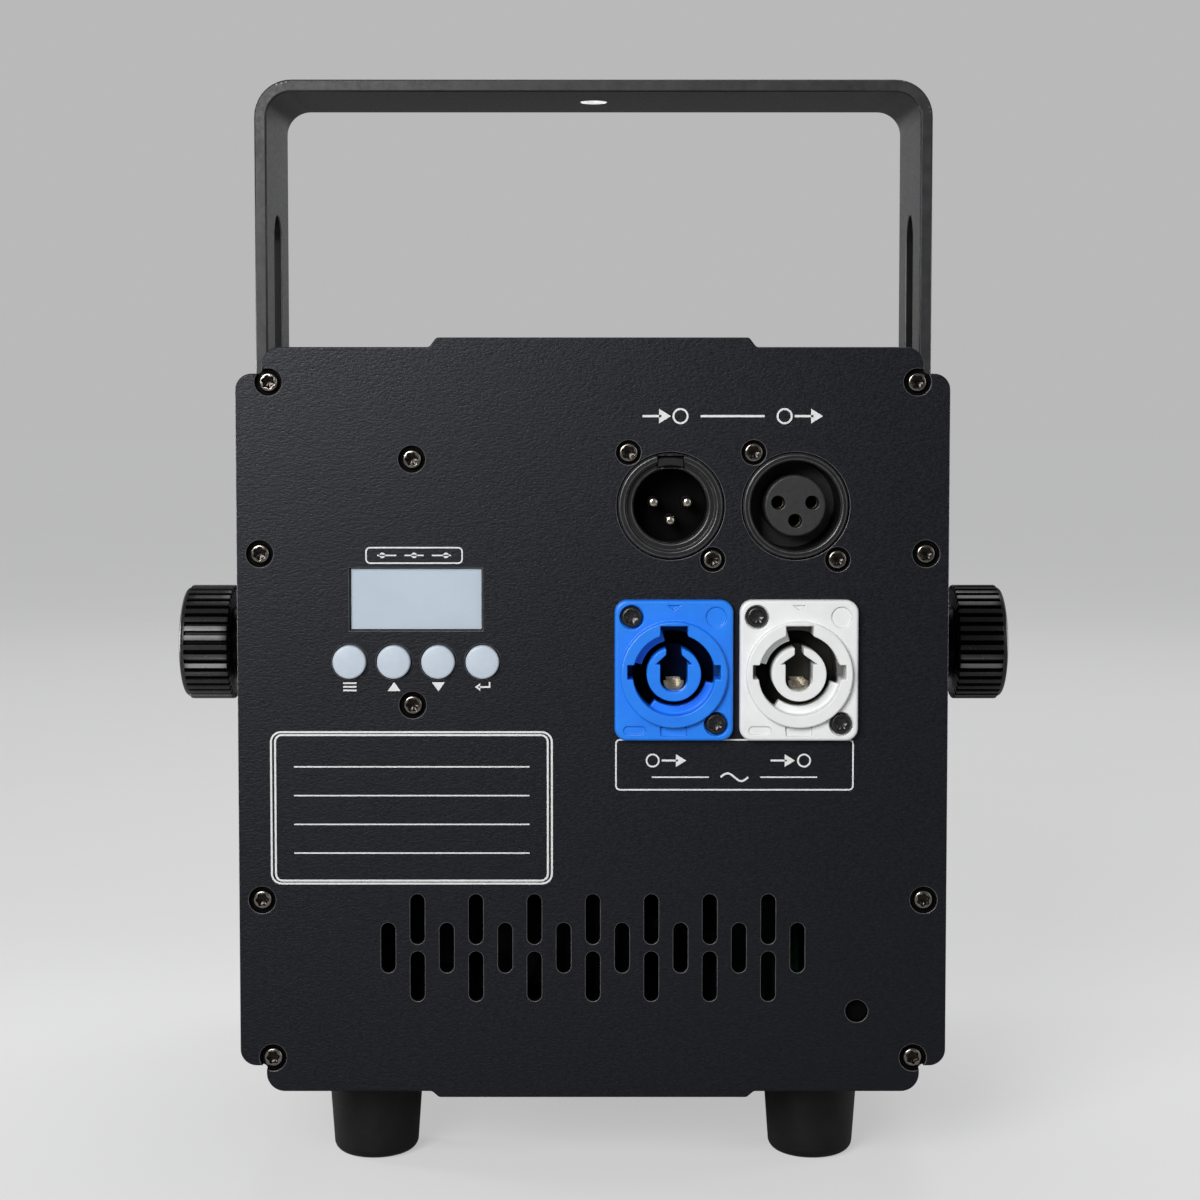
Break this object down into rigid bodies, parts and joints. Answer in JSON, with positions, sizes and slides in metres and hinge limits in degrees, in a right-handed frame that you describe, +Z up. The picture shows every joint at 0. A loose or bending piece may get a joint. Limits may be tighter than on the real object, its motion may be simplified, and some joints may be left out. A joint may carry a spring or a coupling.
{
  "type": "laser show projector",
  "caption": "Compact box-shaped laser show projector on a bent bracket with ribbed clamp knobs, with a display, buttons, signal and power sockets on its rear and a beam window on its front.",
  "frame": {"origin": "on the floor under the middle of the bounding box", "axes": "+X right as seen from the rear, +Y the way the beam leaves, +Z up"},
  "size_m": [0.2046, 0.15, 0.2515],
  "materials": {
    "casing_black": "fine black anodised coat",
    "bracket_black": "satin black powder coat",
    "nickel_screw": "nickel plated",
    "black_screw": "black oxide",
    "foot_rubber": "matt",
    "black_plastic": "fine texture",
    "friction_fibre": "matt fibre",
    "window_clear": "coated",
    "display_pale": "pale blue screen",
    "button_white": "satin white",
    "board_green": "solder mask",
    "shell_black": "satin black",
    "contact_brass": "plated",
    "socket_blue": "satin moulding",
    "socket_white": "satin moulding",
    "clamp_steel": "zinc plated",
    "bare_aluminium": "milled",
    "mirror_coat": "first surface"
  },
  "bodies": {
    "housing": {"left_side_profile": "casing_black", "right_side_profile": "casing_black", "top_cover": "casing_black", "bottom_plate": "casing_black", "rear_panel": "casing_black", "front_panel": "casing_black", "rear_panel_screws": "nickel_screw", "front_panel_screws": "nickel_screw", "cover_screws": "nickel_screw", "bezel_screws": "nickel_screw", "dmx_screws": "nickel_screw", "fan_screws": "nickel_screw", "foot_screws": "nickel_screw", "power_socket_screws": "black_screw", "rubber_feet": "foot_rubber", "window_bezel": "black_plastic", "dmx_in_insert": "black_plastic", "dmx_out_insert": "black_plastic", "fan_frame": "black_plastic", "microphone": "black_plastic", "button_switches": "black_plastic", "window_glass": "window_clear", "display_module": "display_pale", "control_board": "board_green", "driver_board": "board_green", "dmx_in_shell": "shell_black", "dmx_out_shell": "shell_black", "dmx_contacts": "contact_brass", "power_contacts": "contact_brass", "board_fixings": "contact_brass", "power_out_socket": "socket_blue", "power_in_socket": "socket_white", "pivot_inserts": "clamp_steel", "optical_plate": "bare_aluminium", "mirror_mounts": "bare_aluminium", "galvo_block": "bare_aluminium", "galvo_motors": "bare_aluminium", "power_supply": "bare_aluminium", "fan_bracket": "bare_aluminium", "red_laser": "bare_aluminium", "green_laser": "bare_aluminium", "blue_laser": "bare_aluminium", "combining_mirrors": "mirror_coat"},
    "pivot_washers": {"left_friction_washer": "friction_fibre", "right_friction_washer": "friction_fibre"},
    "bracket": {"bracket": "bracket_black"},
    "left_clamp": {"left_knob_washer": "clamp_steel"},
    "right_clamp": {"right_knob_washer": "clamp_steel"},
    "left_knob": {"left_knob": "black_plastic", "left_knob_stud": "clamp_steel"},
    "right_knob": {"right_knob": "black_plastic", "right_knob_stud": "clamp_steel"},
    "menu_button": {"menu_button": "button_white"},
    "up_button": {"up_button": "button_white"},
    "down_button": {"down_button": "button_white"},
    "enter_button": {"enter_button": "button_white"},
    "x_mirror": {"x_mirror": "mirror_coat"},
    "y_mirror": {"y_mirror": "mirror_coat"},
    "fan_rotor": {"fan_rotor": "black_plastic"}
  },
  "joints": [
    {"name": "bracket_tilt", "type": "hinge", "parent": "housing", "child": "pivot_washers", "pos_m": [0, 0.00005, 0.1136], "axis": [1, 0, 0], "range_deg": [-110, 110]},
    {"name": "bracket_slide", "type": "slide", "parent": "pivot_washers", "child": "bracket", "axis": [0, 0, 1], "range_m": [-0.025, 0]},
    {"name": "left_clamp_travel", "type": "slide", "parent": "housing", "child": "left_clamp", "axis": [-1, 0, 0], "range_m": [0, 0.003]},
    {"name": "left_knob_turn", "type": "hinge", "parent": "left_clamp", "child": "left_knob", "pos_m": [0, 0.00005, 0.1136], "axis": [-1, 0, 0], "range_deg": [0, 720]},
    {"name": "right_clamp_travel", "type": "slide", "parent": "housing", "child": "right_clamp", "axis": [1, 0, 0], "range_m": [0, 0.003]},
    {"name": "right_knob_turn", "type": "hinge", "parent": "right_clamp", "child": "right_knob", "pos_m": [0, 0.00005, 0.1136], "axis": [1, 0, 0], "range_deg": [0, 720]},
    {"name": "menu_press", "type": "slide", "parent": "housing", "child": "menu_button", "axis": [0, 1, 0], "range_m": [0, 0.0005], "stiffness_N_per_m": 1500},
    {"name": "up_press", "type": "slide", "parent": "housing", "child": "up_button", "axis": [0, 1, 0], "range_m": [0, 0.0005], "stiffness_N_per_m": 1500},
    {"name": "down_press", "type": "slide", "parent": "housing", "child": "down_button", "axis": [0, 1, 0], "range_m": [0, 0.0005], "stiffness_N_per_m": 1500},
    {"name": "enter_press", "type": "slide", "parent": "housing", "child": "enter_button", "axis": [0, 1, 0], "range_m": [0, 0.0005], "stiffness_N_per_m": 1500},
    {"name": "x_scan", "type": "hinge", "parent": "housing", "child": "x_mirror", "pos_m": [0, 0.03055, 0.1041], "axis": [0, 1, 0], "range_deg": [-12, 12]},
    {"name": "y_scan", "type": "hinge", "parent": "housing", "child": "y_mirror", "pos_m": [0, 0.03055, 0.1171], "axis": [1, 0, 0], "range_deg": [-12, 12]},
    {"name": "fan_spin", "type": "hinge", "parent": "housing", "child": "fan_rotor", "pos_m": [0, -0.05595, 0.0531], "axis": [0, 1, 0], "continuous": true}
  ],
  "couplings": [
    {"joint": "left_knob_turn", "follows": "left_clamp_travel", "rad_per_m": 4188.8},
    {"joint": "right_knob_turn", "follows": "right_clamp_travel", "rad_per_m": 4188.8}
  ]
}
